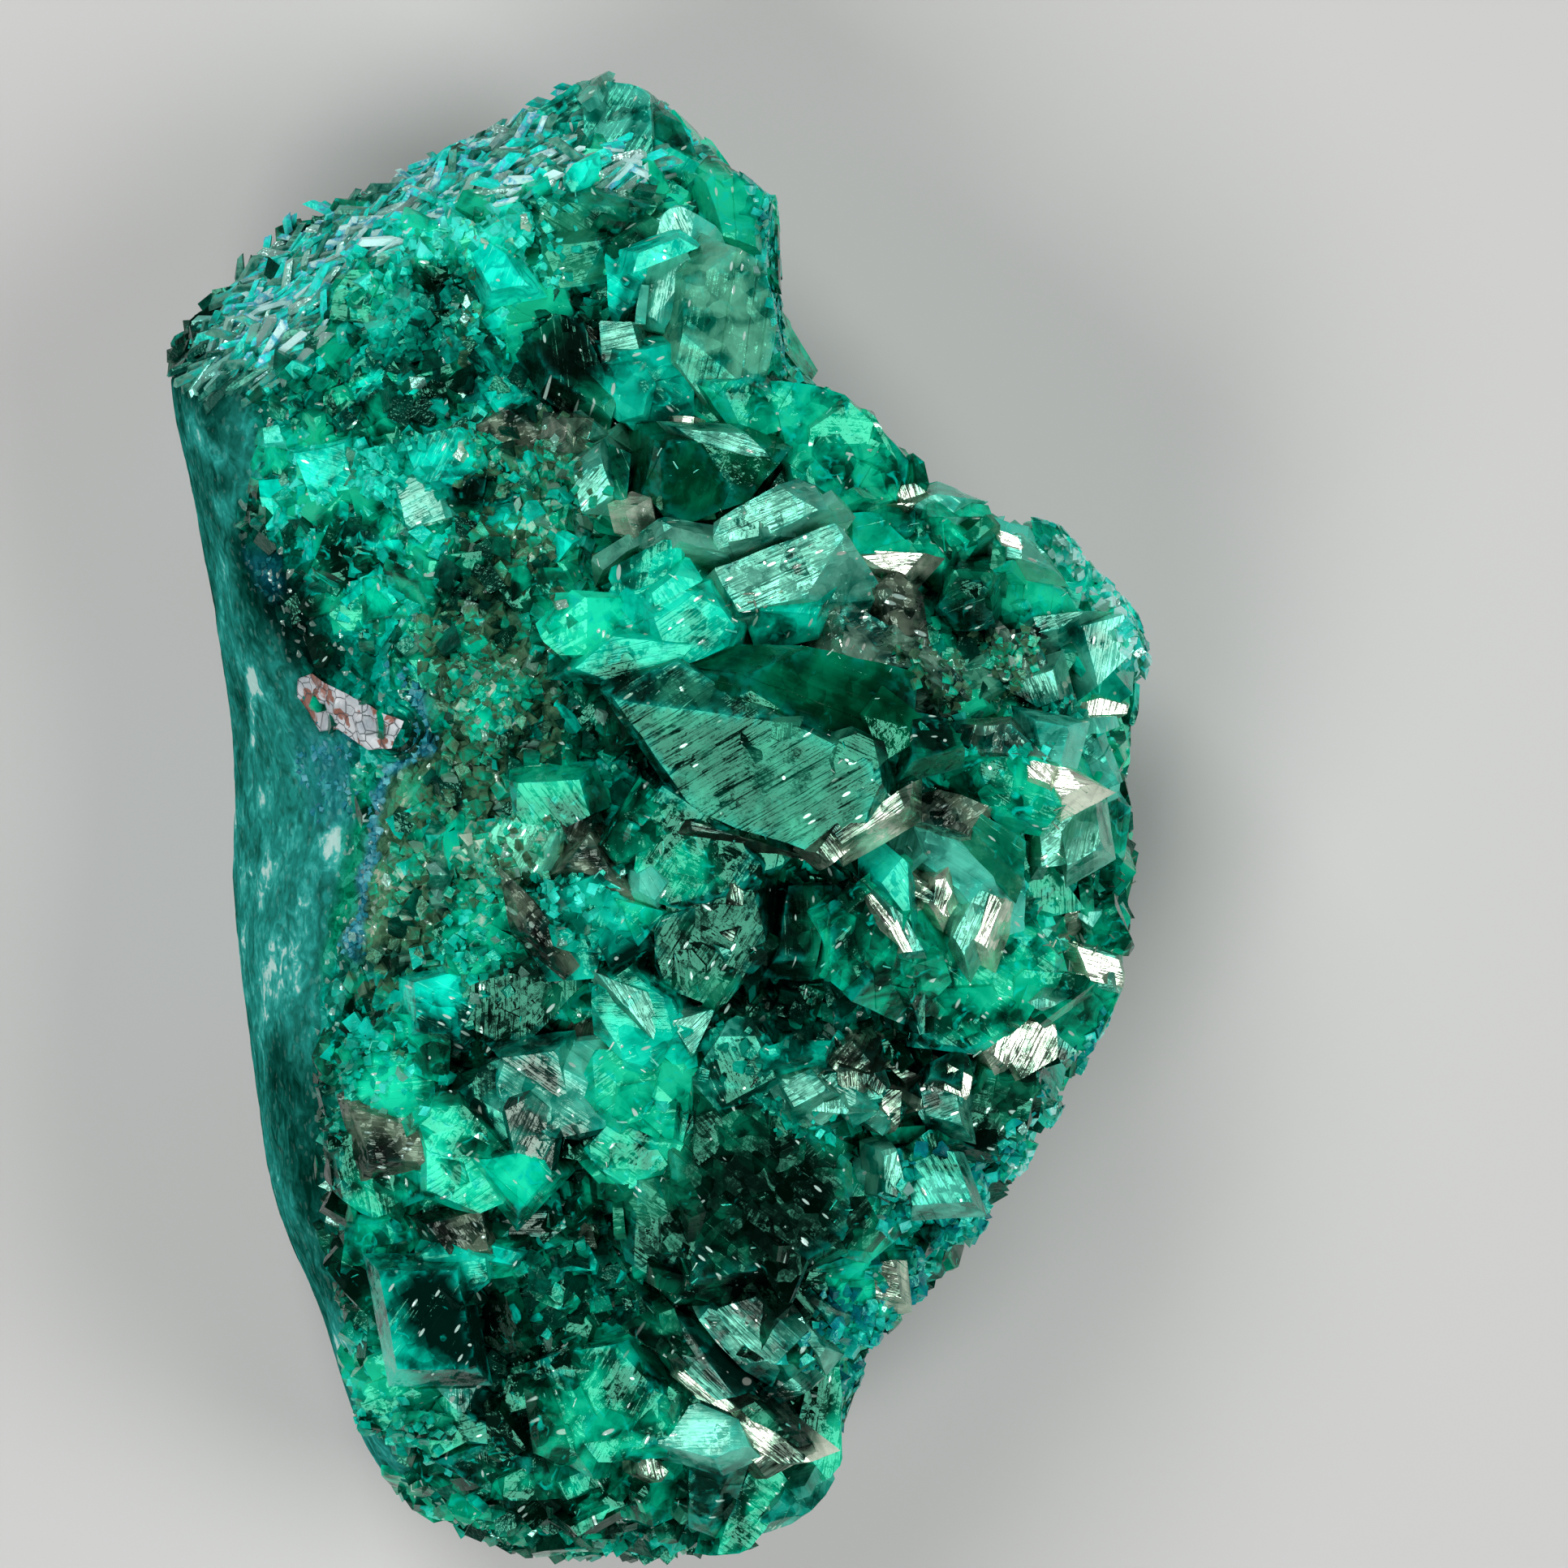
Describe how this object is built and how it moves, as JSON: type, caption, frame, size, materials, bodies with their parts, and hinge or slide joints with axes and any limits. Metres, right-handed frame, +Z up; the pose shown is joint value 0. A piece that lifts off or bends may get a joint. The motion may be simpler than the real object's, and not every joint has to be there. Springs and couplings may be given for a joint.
{
  "type": "dioptase specimen",
  "caption": "Rough green crystal cluster: stout glassy prisms and broad lustrous faces grown together on a flat broken base.",
  "frame": {"origin": "middle of the bounding box at its bottom, on the flat break the stone lies on", "axes": "+Z up through the crystal side, +Y along the long axis towards the narrow end, +X towards the side where the crystals stand out"},
  "size_m": [0.0338, 0.05, 0.0224],
  "materials": {
    "dioptase_green": "glassy emerald to bluish green crystal with silver glints on the broad faces"
  },
  "bodies": {
    "root": {"dioptase": "dioptase_green"}
  },
  "joints": []
}
